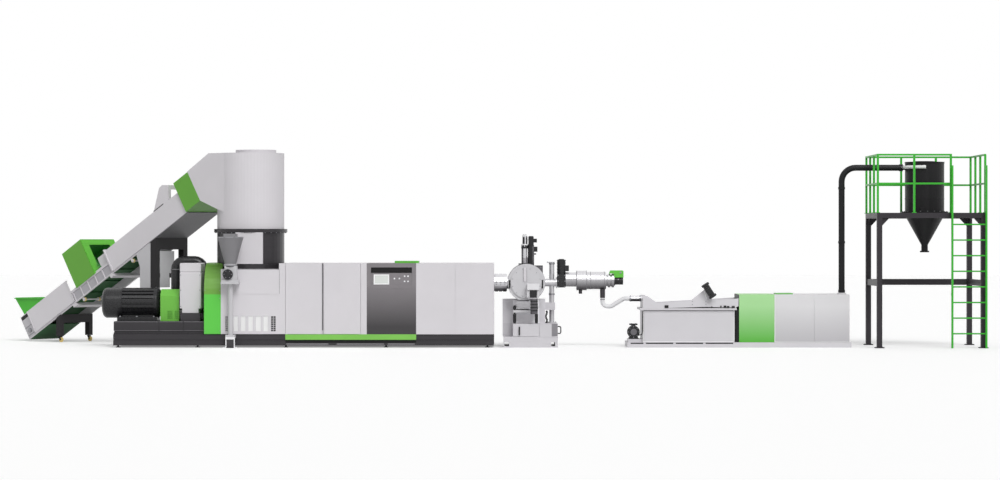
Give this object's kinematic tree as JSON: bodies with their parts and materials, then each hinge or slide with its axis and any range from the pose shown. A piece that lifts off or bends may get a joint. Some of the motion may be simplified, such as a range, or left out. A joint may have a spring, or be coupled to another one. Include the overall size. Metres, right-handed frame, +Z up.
{
  "type": "plastic recycling line",
  "caption": "Plastic recycling line: a sloped belt conveyor feeds a compactor tower and extruder, then a melt filter, pelletizer, dewatering unit and a raised silo.",
  "frame": {"origin": "middle of the whole line's box, on the floor", "axes": "+X along the line from the conveyor to the silo, +Y away from the operator's side, +Z up"},
  "size_m": [19.2908, 5.1494, 3.825],
  "materials": {
    "panel_white": "satin powder coat",
    "panel_green": "satin powder coat",
    "guard_green": "satin powder coat",
    "rail_green": "gloss paint",
    "base_grey": "satin paint",
    "motor_dark": "satin paint",
    "dark_steel": "semi-gloss paint",
    "cabinet_grey": "satin powder coat",
    "light_grey": "satin paint",
    "stainless": "brushed",
    "belt_green": "matte",
    "hose_white": "matte",
    "wheel_yellow": "matte"
  },
  "bodies": {
    "line": {"conveyor_frame": "base_grey", "lower_trough": "panel_white", "upper_cover": "panel_white", "conveyor_belt": "belt_green", "conveyor_underpan": "base_grey", "feed_hopper": "panel_green", "loading_hood": "panel_green", "belt_tunnel": "panel_white", "infeed_collar": "panel_green", "lower_portal": "base_grey", "upper_portal": "base_grey", "conveyor_control_box": "light_grey", "tower_hood": "panel_white", "tower_shell": "panel_white", "tower_lid": "light_grey", "compactor_drum": "dark_steel", "drum_door": "panel_white", "base_frame": "base_grey", "drive_motor": "motor_dark", "coupling_guard": "guard_green", "gearbox": "light_grey", "band_housing": "panel_white", "air_duct": "motor_dark", "compactor_cabinet": "panel_white", "dosing_funnel": "light_grey", "dosing_valve": "base_grey", "extruder_housing": "panel_white", "control_cabinet": "cabinet_grey", "right_housing": "panel_white", "green_skirt": "guard_green", "extruder_barrel": "light_grey", "filter_cabinet": "panel_white", "filter_drum": "panel_white", "filter_ram": "stainless", "filter_motor": "motor_dark", "filter_lift": "dark_steel", "melt_pipe": "light_grey", "pelletizer_motor": "motor_dark", "pelletizer_body": "stainless", "cutter_motor": "motor_dark", "water_tank": "light_grey", "sieve_box": "stainless", "vibration_motor": "motor_dark", "water_pump": "motor_dark", "dryer_cabinet": "guard_green", "blower_cabinet": "panel_white", "slurry_pipe": "hose_white", "conveying_pipe": "motor_dark", "silo_shell": "dark_steel", "silo_lid": "dark_steel", "platform_frame": "base_grey", "handrail": "rail_green", "ladder": "rail_green"},
    "left_door": {"extruder_door_left": "panel_white"},
    "right_door": {"extruder_door_right": "panel_white"},
    "filter_unit_door": {"filter_door": "panel_white"},
    "near_caster": {"caster_fork_near": "dark_steel"},
    "far_caster": {"caster_fork_far": "dark_steel"},
    "near_wheel": {"caster_wheel_near": "wheel_yellow"},
    "far_wheel": {"caster_wheel_far": "wheel_yellow"}
  },
  "joints": [
    {"name": "left_door_hinge", "type": "hinge", "parent": "line", "child": "left_door", "pos_m": [-3.8186, -2.09467, 0.94], "axis": [0, 0, -1], "range_deg": [0, 110]},
    {"name": "right_door_hinge", "type": "hinge", "parent": "line", "child": "right_door", "pos_m": [-2.3776, -2.09467, 0.94], "axis": [0, 0, 1], "range_deg": [0, 110]},
    {"name": "filter_door_hinge", "type": "hinge", "parent": "line", "child": "filter_unit_door", "pos_m": [1.0619, -2.09467, 0.33], "axis": [0, 0, 1], "range_deg": [0, 110]},
    {"name": "near_caster_swivel", "type": "hinge", "parent": "line", "child": "near_caster", "pos_m": [-8.60736, 1.11418, 0.12], "axis": [0, 0, 1], "continuous": true},
    {"name": "far_caster_swivel", "type": "hinge", "parent": "line", "child": "far_caster", "pos_m": [-8.11362, 1.79376, 0.12], "axis": [0, 0, 1], "continuous": true},
    {"name": "near_wheel_spin", "type": "hinge", "parent": "near_caster", "child": "near_wheel", "pos_m": [-8.57905, 1.09361, 0.05], "axis": [0.5878, 0.809, 0], "continuous": true},
    {"name": "far_wheel_spin", "type": "hinge", "parent": "far_caster", "child": "far_wheel", "pos_m": [-8.08531, 1.77318, 0.05], "axis": [0.5878, 0.809, 0], "continuous": true}
  ]
}
